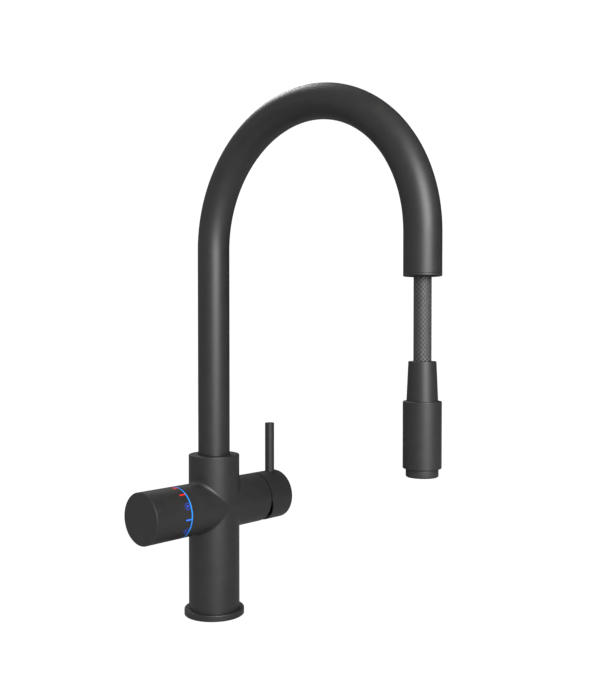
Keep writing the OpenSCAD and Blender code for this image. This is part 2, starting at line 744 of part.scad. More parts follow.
module arch(r) translate([0, -reach / 2, arch_z]) rotate([90, 0, 90])
    rotate_extrude(angle = 180) translate([reach / 2, 0]) circle(r = r);

module spout_tube() color([0.13, 0.13, 0.13]) difference() {
    swan_neck(spout_r, tube_bore_r, tube_z0, collar_top_z + fit_gap);
    // edge along the joint with the guide's collar
    on_outlet(collar_top_z + fit_gap - eps) turned([
        [spout_r - joint_edge, 0], [spout_r + over, 0], [spout_r + over, joint_edge + over]
    ]);
    // turned-down foot, which leaves a shadow line above the column
    translate([0, 0, tube_z0 - over])
        tube(spout_r + over, spout_r - spout_step, over + tube_seat + spout_step_h);
}

module spout_foot() color([0.72, 0.58, 0.3]) difference() {
    turned([
        [foot_bore_r, foot_z0], [foot_r, foot_z0],
        [foot_r, lower_ring_z], [ring_groove_r, lower_ring_z],
        [ring_groove_r, lower_ring_z + slide_ring_h], [foot_r, lower_ring_z + slide_ring_h],
        [foot_r, lower_seal_z], [seal_groove_r, lower_seal_z],
        [seal_groove_r, lower_seal_z + o_ring_groove_h], [foot_r, lower_seal_z + o_ring_groove_h],
        [foot_r, upper_seal_z], [seal_groove_r, upper_seal_z],
        [seal_groove_r, upper_seal_z + o_ring_groove_h], [foot_r, upper_seal_z + o_ring_groove_h],
        [foot_r, upper_ring_z], [ring_groove_r, upper_ring_z],
        [ring_groove_r, upper_ring_z + slide_ring_h], [foot_r, upper_ring_z + slide_ring_h],
        [foot_r, tube_z0], [tube_bore_r - fit_gap, tube_z0],
        [tube_bore_r - fit_gap, tube_z0 + foot_spigot], [foot_bore_r, tube_z0 + foot_spigot]
    ]);
    // slot in which the stop screw's tip runs, at the back
    rotate(90 - stop_slot_half) translate([0, 0, stop_slot_z])
        rotate_extrude(angle = 2 * stop_slot_half)
            translate([stop_slot_r, 0]) square([2 * stop_slot_depth, stop_slot_h]);
}

module slide_rings() color([0.9, 0.9, 0.86])
    for (z = [lower_ring_z, upper_ring_z]) translate([0, 0, z])
        tube(socket_r - fit_gap, ring_groove_r + fit_gap / 2, slide_ring_h);

module spout_o_rings() color([0.05, 0.05, 0.05])
    for (z = [lower_seal_z, upper_seal_z]) translate([0, 0, z + o_ring_groove_h / 2])
        rotate_extrude() translate([seal_groove_r + fit_gap + o_ring_d / 2, 0]) circle(d = o_ring_d);

// Guide in the outlet, in which the hose cone docks: its seat follows the docked cone, and its
// collar closes the spout's end
module outlet_guide() color([0.13, 0.13, 0.13]) on_outlet() difference() {
    turned([
        [0, outlet_z], [spout_r - outlet_chamfer, outlet_z], [spout_r, outlet_z + outlet_chamfer],
        [spout_r, collar_top_z - joint_edge], [spout_r - joint_edge, collar_top_z],
        [tube_bore_r - fit_gap, collar_top_z], [tube_bore_r - fit_gap, hose_top_z + guide_floor],
        [0, hose_top_z + guide_floor]
    ]);
    translate([0, 0, hose_top_z]) cylinder(r = hose_r + fit_gap, h = 2 * guide_floor);
    turned([
        [0, outlet_z - over], [guide_mouth_r, outlet_z - over],
        [guide_mouth_r, outlet_z + guide_lip_h],
        [cone_foot_d / 2 + body_gap, outlet_z + guide_lip_h + over],
        [cone_top_d / 2 + body_gap, hose_top_z - dock_gap],
        [cone_top_d / 2 + body_gap, hose_top_z + eps], [0, hose_top_z + eps]
    ]);
}

// ---------- hose ----------

// Hose inside the column and the spout, up to the outlet guide
module hose_inner() color([0.42, 0.42, 0.42])
    swan_neck(hose_r, hose_bore / 2, hose_foot_z, hose_top_z);

// Hose between the outlet guide and the ferrule
module hose_free() color([0.42, 0.42, 0.42])
    on_outlet(ferrule_top) tube(hose_r, hose_bore / 2, hose_top_z - ferrule_top);

// Ferrule crimped on the hose's end
module hose_ferrule() color([0.75, 0.75, 0.77]) on_outlet(nipple_z0 + nipple_flange_h) difference() {
    tube(ferrule_r, hose_bore / 2, ferrule_top - nipple_z0 - nipple_flange_h);
    for (k = [1:3]) translate([0, 0, crimp_pitch * k]) rotate_extrude()
        translate([ferrule_r + crimp_r / 2, 0]) circle(r = crimp_r, $fn = 24);
}

module hose_nipple() color([0.72, 0.58, 0.3]) on_outlet(nipple_z0) difference() {
    union() {
        cylinder(r = nipple_flange_r, h = nipple_flange_h);
        cylinder(r = hose_bore / 2 - fit_gap, h = nipple_len);
    }
    translate([0, 0, -over]) cylinder(r = hose_bore / 2 - nipple_wall, h = nipple_len + 2 * over);
}

// Boiling water line: a tube of its own inside the hose
module boiling_line() color([0.85, 0.83, 0.78])
    swan_neck(line_r, line_bore / 2, hose_foot_z, hose_top_z);

module boiling_line_free() color([0.85, 0.83, 0.78])
    on_outlet(ferrule_top) tube(line_r, line_bore / 2, hose_top_z - ferrule_top);

module boiling_line_end() color([0.85, 0.83, 0.78])
    on_outlet(nipple_z0) tube(line_r, line_bore / 2, ferrule_top - nipple_z0);

// ---------- spray head ----------

// Conical nut that holds the hose's end on the head, and docks in the outlet
module hose_cone() color([0.13, 0.13, 0.13]) on_outlet() difference() {
    turned(concat(
        [[0, head_top_z], [cone_foot_d / 2, head_top_z]],
        arc([cone_top_d / 2 - head_edge, cone_top_z - head_edge], head_edge, 0, 90, 4),
        [[0, cone_top_z]]
    ));
    translate([0, 0, nipple_z0]) cylinder(r = hose_r + body_gap + throat_play, h = cone_h);
    translate([0, 0, nipple_z0]) cylinder(r = ferrule_r + body_gap, h = ferrule_top - nipple_z0 + body_gap);
    translate([0, 0, head_top_z - over])
        cylinder(r = thread_r, h = nipple_z0 + nipple_flange_h + body_gap - head_top_z + over);
}

module hose_washer() color([0.05, 0.05, 0.05])
    on_outlet(spigot_top) tube(nipple_flange_r, core_bore_r, washer_h);

// Waterway through the head, with the thread that carries the cone
module head_core() color([0.85, 0.85, 0.82]) on_outlet() difference() {
    union() {
        translate([0, 0, head_top_z - head_deck_h])
            cylinder(r = thread_r - fit_gap, h = spigot_top - head_top_z + head_deck_h);
        translate([0, 0, head_foot_z + neck_thread_h])
            cylinder(r = core_wall_r, h = head_h - neck_thread_h - head_deck_h);
        translate([0, 0, head_top_z - 2 * head_deck_h]) cylinder(r = head_bore_r - fit_gap, h = head_deck_h);
    }
    translate([0, 0, head_foot_z]) cylinder(r = core_bore_r, h = head_h + cone_h);
    translate([0, 0, check_valve_z0]) cylinder(r = check_valve_r + fit_gap, h = head_h);
}

module check_valve() color([0.2, 0.35, 0.7]) on_outlet(check_valve_z0) difference() {
    cylinder(r = check_valve_r, h = check_valve_h);
    for (z = [-over, check_valve_h - check_valve_port_h]) translate([0, 0, z])
        cylinder(r = check_valve_port_r, h = check_valve_port_h + over);
}

module head_shell() color([0.13, 0.13, 0.13]) on_outlet() difference() {
    turned(concat(
        [[0, head_foot_z]],
        arc([head_r - shell_foot_edge, head_foot_z + shell_foot_edge], shell_foot_edge, -90, 0, 3),
        arc([head_r - head_edge, head_top_z - head_edge], head_edge, 0, 90, 4),
        [[0, head_top_z]]
    ));
    translate([0, 0, head_foot_z - over]) cylinder(r = head_bore_r, h = head_h + over - head_deck_h);
    translate([0, 0, head_foot_z]) cylinder(r = thread_r, h = 2 * head_h);
}

// Threaded neck below the shell, which carries the aerator ring
module nozzle_neck() color([0.13, 0.13, 0.13]) on_outlet() turned([
    [neck_bore_r, aerator_top + neck_taper_h], [aerator_bore_r, aerator_top + aerator_seal_h],
    [aerator_bore_r, aerator_foot_z + aerator_lip_h + fit_gap],
    [skirt_r, aerator_foot_z + aerator_lip_h + fit_gap], [skirt_r, neck_foot_z],
    [nozzle_r, neck_foot_z + neck_step], [nozzle_r, head_foot_z],
    [head_bore_r - fit_gap, head_foot_z + neck_step], [head_bore_r - fit_gap, head_foot_z + neck_thread_h],
    [neck_bore_r, head_foot_z + neck_thread_h]
]);

module aerator_seal() color([0.05, 0.05, 0.05])
    on_outlet(aerator_top) tube(aerator_r, aerator_r - aerator_seal_w, aerator_seal_h);

// Insert with a honeycomb of holes, in rings of 6, 12 and 18 about a middle one
module aerator() color([0.75, 0.75, 0.78]) on_outlet() difference() {
    translate([0, 0, aerator_foot_z + aerator_lip_h])
        cylinder(r = aerator_r, h = aerator_top - aerator_foot_z - aerator_lip_h);
    translate([0, 0, aerator_foot_z]) {
        cylinder(r = mesh_r, h = neck_h + aerator_top, $fn = 6);
        for (ring = [1:3], k = [0:6 * ring - 1]) rotate(60 / ring * k) translate([mesh_pitch * ring, 0, 0])
            cylinder(r = mesh_r, h = neck_h + aerator_top, $fn = 6);
    }
}

module aerator_ring() color([0.13, 0.13, 0.13]) on_outlet() turned(concat(
    [[aerator_lip_r, aerator_foot_z]],
    arc([nozzle_r - aerator_ring_edge, aerator_foot_z + aerator_ring_edge], aerator_ring_edge, -90, 0, 5),
    [[nozzle_r, neck_foot_z - edge], [nozzle_r - edge, neck_foot_z],
     [skirt_r + fit_gap, neck_foot_z], [skirt_r + fit_gap, aerator_foot_z + aerator_lip_h],
     [aerator_lip_r, aerator_foot_z + aerator_lip_h]]
));

column_body();
column_foot();
base_ring();
base_seal();
spout_stop_screw();
boil_valve();
boil_nut();
boil_disc_fixed();
boil_disc_turning();
boil_spindle();
knob_carrier();
knob_shell();
indicator_ring();
knob_grub_screw();
mixer_cartridge();
cartridge_nut();
port_seals();
mixer_disc_fixed();
mixer_disc_moving();
mixer_turret();
pivot_pin();
mixer_stem();
lever_cap();
lever_rod();
lever_grub_screw();
spout_tube();
spout_foot();
slide_rings();
spout_o_rings();
outlet_guide();
hose_inner();
hose_free();
hose_ferrule();
hose_nipple();
boiling_line();
boiling_line_free();
boiling_line_end();
hose_cone();
hose_washer();
head_core();
check_valve();
head_shell();
nozzle_neck();
aerator_seal();
aerator();
aerator_ring();
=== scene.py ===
"""Dresses the kitchen tap: camera, studio, finishes, braided hose and the printed marks of the boiling knob."""

import json
import math

import bpy
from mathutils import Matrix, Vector

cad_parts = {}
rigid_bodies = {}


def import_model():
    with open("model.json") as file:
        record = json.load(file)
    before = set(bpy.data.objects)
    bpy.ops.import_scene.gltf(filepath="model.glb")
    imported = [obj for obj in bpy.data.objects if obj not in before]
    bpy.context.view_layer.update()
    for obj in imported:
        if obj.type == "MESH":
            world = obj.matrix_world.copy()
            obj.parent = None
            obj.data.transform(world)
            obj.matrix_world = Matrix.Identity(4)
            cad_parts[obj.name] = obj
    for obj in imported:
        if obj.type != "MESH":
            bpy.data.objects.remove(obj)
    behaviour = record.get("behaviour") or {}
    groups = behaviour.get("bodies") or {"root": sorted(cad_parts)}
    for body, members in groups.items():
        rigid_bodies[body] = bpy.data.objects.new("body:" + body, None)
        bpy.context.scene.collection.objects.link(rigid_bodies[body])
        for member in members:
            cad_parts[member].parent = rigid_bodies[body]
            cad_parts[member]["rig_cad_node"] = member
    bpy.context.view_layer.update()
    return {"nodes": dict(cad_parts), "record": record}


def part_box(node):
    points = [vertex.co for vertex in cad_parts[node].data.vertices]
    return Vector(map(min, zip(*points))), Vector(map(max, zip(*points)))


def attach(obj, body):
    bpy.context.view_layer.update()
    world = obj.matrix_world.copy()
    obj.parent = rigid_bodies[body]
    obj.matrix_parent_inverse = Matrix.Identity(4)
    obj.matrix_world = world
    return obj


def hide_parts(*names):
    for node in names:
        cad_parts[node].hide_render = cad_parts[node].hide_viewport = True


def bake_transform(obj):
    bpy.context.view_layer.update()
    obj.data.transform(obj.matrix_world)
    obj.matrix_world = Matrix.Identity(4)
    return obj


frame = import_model()
nodes = frame["nodes"]
record = frame["record"]

MM = 0.001
WHITE = (1, 1, 1, 1)

# Places taken from the frame, in metres
KNOB_LOW, KNOB_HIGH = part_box("knob_shell")
VALVE_Z = (KNOB_LOW.z + KNOB_HIGH.z) / 2
KNOB_R = (KNOB_HIGH.y - KNOB_LOW.y) / 2
KNOB_MOUTH_X = KNOB_HIGH.x
HOSE_LOW, HOSE_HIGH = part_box("hose_free")
HOSE_R = (HOSE_HIGH.x - HOSE_LOW.x) / 2
HOSE_Y = (HOSE_LOW.y + HOSE_HIGH.y) / 2
RING_LOW, RING_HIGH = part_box("aerator_ring")


# ---------- objects ----------

def only(piece):
    """Selects this object alone and makes it active."""
    bpy.ops.object.select_all(action="DESELECT")
    piece.select_set(True)
    bpy.context.view_layer.objects.active = piece


def settle(piece):
    """Applies the object's place, turn and scale to its mesh."""
    only(piece)
    bpy.ops.object.transform_apply(location=True, rotation=True, scale=True)


def finish_modifiers(piece):
    """Applies the object's modifiers to its mesh."""
    only(piece)
    for modifier in list(piece.modifiers):
        bpy.ops.object.modifier_apply(modifier=modifier.name)


def face_outward(piece):
    """Turns all faces of closed shapes outward."""
    only(piece)
    bpy.ops.object.mode_set(mode="EDIT")
    bpy.ops.mesh.select_all(action="SELECT")
    bpy.ops.mesh.normals_make_consistent(inside=False)
    bpy.ops.object.mode_set(mode="OBJECT")


# ---------- shader nodes ----------

def set_inputs(node, **values):
    """Sets a node's inputs by their names, with _ in place of each space."""
    for name, value in values.items():
        node.inputs[name.replace("_", " ")].default_value = value


def new_node(tree, kind, **values):
    """Shader node of this kind, with its inputs set."""
    node = tree.nodes.new("ShaderNode" + kind)
    set_inputs(node, **values)
    return node


def step(tree, operation, a, b=None, clamp=False):
    """Math node on sockets or numbers."""
    node = new_node(tree, "Math")
    node.operation = operation
    node.use_clamp = clamp
    for index, value in enumerate((a, b)):
        if value is None:
            continue
        if isinstance(value, (int, float)):
            node.inputs[index].default_value = value
        else:
            tree.links.new(value, node.inputs[index])
    return node.outputs[0]


def half_up(tree, wave):
    """Wave from -1 to 1, moved to go from 0 to 1."""
    return step(tree, "ADD", step(tree, "MULTIPLY", wave, 0.5), 0.5)


def blank_finish(name, metallic=0.0, specular=0.5):
    """Material with the values that are the same all over it. It gives the material, its nodes and its shader."""
    finish = bpy.data.materials.new(name)
    finish.use_nodes = True
    shader = finish.node_tree.nodes["Principled BSDF"]
    set_inputs(shader, Metallic=metallic, Specular_IOR_Level=specular)
    return finish, finish.node_tree, shader


def grey(tone):
    """Colour without a hue."""
    return (tone, tone, tone)


# ---------- camera ----------

# Photograph's camera: place in metres, direction of its view, lens and sensor in mm
CAMERA_PLACE = (-0.52695, -0.57766, 0.25261)
CAMERA_LOOK = (0.742885, 0.669034, -0.022702)
CAMERA_LENS = 45.04
SENSOR_W = 36.0


def add_camera():
    """Photograph's viewpoint: front left, almost level."""
    bpy.ops.object.select_all(action="DESELECT")
    bpy.ops.object.camera_add(location=CAMERA_PLACE)
    camera = bpy.context.object
    camera.name = "camera"
    camera.rotation_euler = Vector(CAMERA_LOOK).to_track_quat("-Z", "Y").to_euler()
    camera.data.lens = CAMERA_LENS
    camera.data.sensor_width = SENSOR_W
    camera.data.sensor_fit = "AUTO"
    camera.data.clip_start = 0.01
    camera.data.dof.use_dof = False
    bpy.context.scene.camera = camera


add_camera()


# ---------- studio ----------

# Brightness of the surround at the tap's left and right, and the share of it straight above
SURROUND_LEFT = 0.55
SURROUND_RIGHT = 0.05
SURROUND_TOP = 0.6

# Brightness of the backdrop and the floor to the camera, just past white
BACKDROP_GLOW = 1.05
FLOOR_GLOW = 1.25
FLOOR_GLOW_SHARE = 0.8

# Floor: radius, how far it lies below the tap's underside, and its tone
FLOOR_R = 4
FLOOR_DROP = 0.2 * MM
FLOOR_TONE = 0.42


def add_softbox(name, place, target, width, height, watts):
    """Rectangular soft light at place, facing target. The camera doesn't see it."""
    bpy.ops.object.light_add(type="AREA", location=place)
    light = bpy.context.object
    light.name = name
    light.data.shape = "RECTANGLE"
    light.data.size = width
    light.data.size_y = height
    light.data.energy = watts
    light.rotation_euler = (Vector(target) - Vector(place)).to_track_quat("-Z", "Y").to_euler()
    light.visible_camera = False


def add_world():
    """White backdrop for the camera, and a softer surround that lights the tap, darker towards the right."""
    world = bpy.data.worlds.new("studio")
    bpy.context.scene.world = world
    world.use_nodes = True
    tree = world.node_tree
    tree.nodes.clear()
    direction = new_node(tree, "TexCoord")
    parts = new_node(tree, "SeparateXYZ")
    side = new_node(tree, "MapRange", From_Min=-0.6, From_Max=0.8, To_Min=SURROUND_LEFT, To_Max=SURROUND_RIGHT)
    height = new_node(tree, "MapRange", From_Min=0.0, From_Max=1.0, To_Min=1.0, To_Max=SURROUND_TOP)
    tree.links.new(direction.outputs["Generated"], parts.inputs["Vector"])
    tree.links.new(parts.outputs["X"], side.inputs["Value"])
    tree.links.new(parts.outputs["Z"], height.inputs["Value"])
    both = step(tree, "MULTIPLY", side.outputs["Result"], height.outputs["Result"])
    surround = new_node(tree, "Background", Color=WHITE)
    tree.links.new(both, surround.inputs["Strength"])
    backdrop = new_node(tree, "Background", Color=WHITE, Strength=BACKDROP_GLOW)
    path = new_node(tree, "LightPath")
    mix = new_node(tree, "MixShader")
    tree.links.new(path.outputs["Is Camera Ray"], mix.inputs["Fac"])
    tree.links.new(surround.outputs[0], mix.inputs[1])
    tree.links.new(backdrop.outputs[0], mix.inputs[2])
    tree.links.new(mix.outputs[0], new_node(tree, "OutputWorld").inputs["Surface"])


def add_floor():
    """Pale floor: white to the camera, with a faint soft shadow where the tap stands."""
    bpy.ops.object.select_all(action="DESELECT")
    bpy.ops.mesh.primitive_circle_add(vertices=96, radius=FLOOR_R, fill_type="NGON", location=(0, 0, -FLOOR_DROP))
    floor = bpy.context.object
    floor.name = "floor"
    finish, tree, paint = blank_finish("pale_floor", specular=0.0)
    set_inputs(paint, Base_Color=(*grey(FLOOR_TONE), 1), Roughness=0.8)
    glow = new_node(tree, "Emission", Color=WHITE, Strength=FLOOR_GLOW)
    path = new_node(tree, "LightPath")
    mix = new_node(tree, "MixShader")
    tree.links.new(step(tree, "MULTIPLY", path.outputs["Is Camera Ray"], FLOOR_GLOW_SHARE), mix.inputs["Fac"])
    tree.links.new(paint.outputs[0], mix.inputs[1])
    tree.links.new(glow.outputs[0], mix.inputs[2])
    tree.links.new(mix.outputs[0], tree.nodes["Material Output"].inputs["Surface"])
    floor.data.materials.append(finish)


bpy.context.scene.view_settings.view_transform = "Standard"
add_world()
add_softbox("front softbox", place=(-1.0, -2.15, 1.12), target=(0, -0.1, 0.3), width=1.5, height=1.5, watts=109)
add_softbox("rim softbox", place=(0.62, 1.41, 1.88), target=(0, -0.1, 0.4), width=0.8, height=0.5, watts=15)
add_floor()


# ---------- shared effects ----------

def new_effect(name, sockets_in, sockets_out):
    """Node group with named float inputs and outputs. It gives the group, its input node and its output node."""
    group = bpy.data.node_groups.new(name, "ShaderNodeTree")
    for socket_name, value in sockets_in.items():
        socket = group.interface.new_socket(name=socket_name, in_out="INPUT", socket_type="NodeSocketFloat")
        socket.default_value = value
    for socket_name in sockets_out:
        group.interface.new_socket(name=socket_name, in_out="OUTPUT", socket_type="NodeSocketFloat")
    return group, group.nodes.new("NodeGroupInput"), group.nodes.new("NodeGroupOutput")


def object_place(tree):
    """Place on the object, in metres."""
    return new_node(tree, "TexCoord").outputs["Object"]


def noise(tree, vector, scale, detail=2.0, roughness=0.5):
    """Noise over vector. Its scale is a number or a socket."""
    node = new_node(tree, "TexNoise", Detail=detail, Roughness=roughness)
    if isinstance(scale, (int, float)):
        set_inputs(node, Scale=scale)
    else:
        tree.links.new(scale, node.inputs["Scale"])
    tree.links.new(vector, node.inputs["Vector"])
    return node.outputs["Fac"]


def grain_effect():
    """Fine peel of a sprayed or moulded surface: Height for bump, Fleck for tone."""
    group, given, out = new_effect("grain", {"Scale": 1600.0}, ("Height", "Fleck"))
    place = object_place(group)
    fine = noise(group, place, given.outputs["Scale"], 3.0, 0.6)
    broad_scale = step(group, "MULTIPLY", given.outputs["Scale"], 0.06)
    broad = noise(group, place, broad_scale, 3.0, 0.55)
    fleck = step(group, "ADD", step(group, "MULTIPLY", fine, 0.5), step(group, "MULTIPLY", broad, 0.5))
    group.links.new(fine, out.inputs["Height"])
    group.links.new(fleck, out.inputs["Fleck"])
    return group


def edge_wear_and_painted_highlight_effect():
    """Mask of the outer edges, broken up by noise: partly where handling has polished the finish, partly a painted
    highlight that lightens the edges.
    """
    group, given, out = new_effect("edge wear", {"Amount": 0.5}, ("Mask",))
    bevel = new_node(group, "Bevel", Radius=0.5 * MM)
    bevel.samples = 4
    surface = new_node(group, "NewGeometry")
    dot = new_node(group, "VectorMath")
    dot.operation = "DOT_PRODUCT"
    group.links.new(bevel.outputs["Normal"], dot.inputs[0])
    group.links.new(surface.outputs["Normal"], dot.inputs[1])
    turned = step(group, "MULTIPLY", step(group, "SUBTRACT", 1.0, dot.outputs["Value"]), 6.0, clamp=True)
    broken = step(group, "ADD", noise(group, object_place(group), 260.0, 3.0, 0.6), 0.2, clamp=True)
    worn_and_highlit = step(group, "MULTIPLY", turned, broken)
    group.links.new(step(group, "MULTIPLY", worn_and_highlit, given.outputs["Amount"], clamp=True), out.inputs["Mask"])
    return group


def dust_effect():
    """Mask of the faint dust that settles on faces that look up."""
    group, given, out = new_effect("dust", {"Amount": 0.2}, ("Mask",))
    surface = new_node(group, "NewGeometry")
    parts = new_node(group, "SeparateXYZ")
    group.links.new(surface.outputs["Normal"], parts.inputs["Vector"])
    upward = step(group, "MULTIPLY", step(group, "SUBTRACT", parts.outputs["Z"], 0.2), 1.25, clamp=True)
    place = object_place(group)
    patches = step(group, "MULTIPLY", noise(group, place, 90.0, 4.0, 0.6), noise(group, place, 2600.0, 2.0, 0.7))
    settled = step(group, "MULTIPLY", upward, patches)
    group.links.new(step(group, "MULTIPLY", settled, given.outputs["Amount"], clamp=True), out.inputs["Mask"])
    return group


def turned_effect():
    """Lathe marks: even waves that wobble a little."""
    group, given, out = new_effect("turned", {"Pitch": 4000.0}, ("Height",))
    place = object_place(group)
    parts = new_node(group, "SeparateXYZ")
    group.links.new(place, parts.inputs["Vector"])
    wobble = step(group, "MULTIPLY", noise(group, place, 120.0), 0.4 * MM)
    along = step(group, "ADD", step(group, "ADD", parts.outputs["X"], parts.outputs["Z"]), wobble)
    wave = step(group, "SINE", step(group, "MULTIPLY", along, given.outputs["Pitch"]))
    group.links.new(half_up(group, wave), out.inputs["Height"])
    return group


GRAIN = grain_effect()
# Edge mask: partly wear, partly a painted highlight.
EDGE_WEAR_AND_PAINTED_HIGHLIGHT = edge_wear_and_painted_highlight_effect()
DUST = dust_effect()
TURNED = turned_effect()


# ---------- finishes ----------

DUST_TONE = (0.35, 0.34, 0.32)


def place_effect(tree, group, **values):
    """Node of a shared effect, with its inputs set."""
    node = new_node(tree, "Group")
    node.node_tree = group
    set_inputs(node, **values)
    return node


def tint(tree, mask, base, other):
    """Colour that goes from base to other with the mask."""
    node = new_node(tree, "Mix")
    node.data_type = "RGBA"
    for socket, value in ((node.inputs[6], base), (node.inputs[7], other)):
        if isinstance(value, tuple):
            socket.default_value = (*value, 1)
        else:
            tree.links.new(value, socket)
    tree.links.new(mask, node.inputs[0])
    return node.outputs[2]


def spread(tree, value, low, high):
    """Range low to high from a value that goes from 0.3 to 0.7, as noise mostly does."""
    node = new_node(tree, "MapRange", From_Min=0.3, From_Max=0.7, To_Min=low, To_Max=high)
    tree.links.new(value, node.inputs["Value"])
    return node.outputs["Result"]


def raise_bump(tree, shader, height, distance, strength):
    """Bump on the shader's normal."""
    bump = new_node(tree, "Bump", Distance=distance, Strength=strength)
    tree.links.new(height, bump.inputs["Height"])
    tree.links.new(bump.outputs["Normal"], shader.inputs["Normal"])


def mottle(tree, fleck, dark, light):
    """Colour between dark and light by the grain's fleck."""
    return tint(tree, spread(tree, fleck, 0.0, 1.0), dark, light)


def coated_finish(name, dark, light, rough_low, rough_high, grain_scale, worn_and_highlit, wear_and_painted_highlight, dust):
    """Sprayed or moulded finish: fine grain, edges lightened partly by the polish of handling and partly as a
    painted highlight, and a little dust.
    """
    finish, tree, shader = blank_finish(name)
    grain = place_effect(tree, GRAIN, Scale=grain_scale)
    # The edge mask is partly wear and partly a painted highlight that lightens the edges.
    edges = place_effect(tree, EDGE_WEAR_AND_PAINTED_HIGHLIGHT, Amount=wear_and_painted_highlight)
    film = place_effect(tree, DUST, Amount=dust)
    rubbed_and_highlit = tint(tree, edges.outputs["Mask"], mottle(tree, grain.outputs["Fleck"], dark, light), worn_and_highlit)
    tree.links.new(tint(tree, film.outputs["Mask"], rubbed_and_highlit, DUST_TONE), shader.inputs["Base Color"])
    tree.links.new(spread(tree, grain.outputs["Fleck"], rough_low, rough_high), shader.inputs["Roughness"])
    raise_bump(tree, shader, grain.outputs["Height"], 0.02 * MM, 0.35)
    return finish


def painted_glow_finish(name, dark, light, glow, strength):
    """Coloured band with a painted glow: a faint emission of its own colour that brightens it, though it is no
    lamp.
    """
    finish = coated_finish(name, dark, light, 0.36, 0.44, 900.0, light, 0.0, 0.02)
    shader = finish.node_tree.nodes["Principled BSDF"]
    set_inputs(shader, Emission_Color=(*glow, 1), Emission_Strength=strength)
    return finish


def turned_finish(name, dark, light, rough_low, rough_high):
    """Turned metal with lathe marks and a slightly uneven tone."""
    finish, tree, shader = blank_finish(name, metallic=1.0)
    marks = place_effect(tree, TURNED, Pitch=9000.0)
    grain = place_effect(tree, GRAIN, Scale=900.0)
    tree.links.new(mottle(tree, grain.outputs["Fleck"], dark, light), shader.inputs["Base Color"])
    tree.links.new(spread(tree, grain.outputs["Fleck"], rough_low, rough_high), shader.inputs["Roughness"])
    raise_bump(tree, shader, marks.outputs["Height"], 0.01 * MM, 0.4)
    return finish


# Sprayed and moulded finishes: dark and light tone, roughness from and to, scale of the grain, tone where it
# is worn and carries the painted edge highlight, amount of that wear and painted highlight, and amount of dust
COATED = {
    "black_coat": ((0.011, 0.011, 0.0108), (0.016, 0.016, 0.0157), 0.43, 0.5, 1700.0, grey(0.05), 0.35, 0.06),
    "rod_coat": ((0.014, 0.0125, 0.0132), (0.019, 0.017, 0.018), 0.44, 0.52, 1700.0, grey(0.05), 0.35, 0.06),
    "ceramic_disc": ((0.84, 0.82, 0.76), (0.9, 0.89, 0.84), 0.2, 0.28, 1200.0, (0.95, 0.94, 0.9), 0.2, 0.0),
    "white_plastic": ((0.74, 0.74, 0.7), (0.82, 0.82, 0.79), 0.4, 0.5, 900.0, (0.88, 0.88, 0.86), 0.3, 0.0),
    "grey_plastic": ((0.03, 0.03, 0.032), (0.045, 0.045, 0.048), 0.45, 0.55, 900.0, grey(0.1), 0.3, 0.0),
    "blue_plastic": ((0.03, 0.1, 0.4), (0.05, 0.14, 0.5), 0.4, 0.5, 900.0, (0.1, 0.2, 0.6), 0.3, 0.0),
    "hose_braid": (grey(0.06), grey(0.14), 0.45, 0.6, 700.0, grey(0.2), 0.0, 0.0),
    "line_plastic": ((0.7, 0.68, 0.62), (0.78, 0.76, 0.7), 0.4, 0.5, 900.0, (0.8, 0.8, 0.76), 0.0, 0.0),
    "seal_rubber": (grey(0.012), grey(0.022), 0.6, 0.75, 1500.0, grey(0.04), 0.3, 0.0),
}

# Turned metals: dark and light tone, roughness from and to
METALS = {
    "brass": ((0.62, 0.44, 0.2), (0.74, 0.56, 0.29), 0.24, 0.36),
    "steel": ((0.5, 0.5, 0.51), (0.62, 0.62, 0.63), 0.22, 0.34),
}

FINISHES = {name: coated_finish(name, *look) for name, look in COATED.items()}
FINISHES.update({name: turned_finish(name, *look) for name, look in METALS.items()})
# The indicator ring: its own blue, with a painted glow that brightens it though it is no lamp.
FINISHES["indicator_blue"] = painted_glow_finish("indicator_blue", (0.003, 0.24, 0.86), (0.004, 0.27, 0.95),
                                        glow=(0.0, 0.27, 1.0), strength=0.32)

for subpart in record["subparts"]:
    node = nodes[subpart["node"]]
    node.data.materials.clear()
    node.data.materials.append(FINISHES[subpart["material_slot"]])


# ---------- plain tubes cut into rows -----------------

TUBE_CUTS = 23


def cut_rows(piece, cuts):
    """Cuts a plain tube across into rows, so that it can stretch evenly."""
    only(piece)
    bpy.context.tool_settings.mesh_select_mode = (False, True, False)
    mesh = piece.data
    for element in (*mesh.vertices, *mesh.polygons):
        element.select = False
    for edge in mesh.edges:
        low, high = (mesh.vertices[k].co.z for k in edge.vertices)
        edge.select = abs(high - low) > MM
    bpy.ops.object.mode_set(mode="EDIT")
    bpy.ops.mesh.subdivide(number_cuts=cuts)
    bpy.ops.object.mode_set(mode="OBJECT")
    bpy.context.tool_settings.mesh_select_mode = (True, False, False)


def upright_tube(name, sides, radius, wall, bottom, top):
    """Tube on the hose's axis from bottom to top, with its wall inward of radius."""
    bpy.ops.object.select_all(action="DESELECT")
    bpy.ops.mesh.primitive_cylinder_add(vertices=sides, radius=radius, depth=top - bottom, end_fill_type="NOTHING",
                                        location=(0, HOSE_Y, (bottom + top) / 2))
    tube = bpy.context.object
    tube.name = name
    cut_rows(tube, TUBE_CUTS)
    thick = tube.modifiers.new("wall", "SOLIDIFY")
    thick.thickness = wall
    thick.offset = -1
    settle(tube)
    finish_modifiers(tube)
    return tube


# ---------- braided hose ----------

# Strands that wind each way, and their width, thickness, and rise and fall over and under each other
STRANDS = 24
STRAND_W = 1.04 * MM
STRAND_T = 0.26 * MM
STRAND_LIFT = 0.08 * MM
ROWS_PER_CROSSING = 3

# How far the braid stands proud of the hose's nominal radius, and the dark core inside it
BRAID_PROUD = 0.15 * MM
CORE_R = HOSE_R - 0.35 * MM
CORE_WALL = 1.6 * MM

# Cross-section of a strand: share of its width, and height over its middle line in shares of its thickness
STRAND_SECTION = ((-0.5, -0.5), (-0.38, 0.3), (0.0, 0.5), (0.38, 0.3), (0.5, -0.5))

# Fine threads across one strand
THREADS = 7


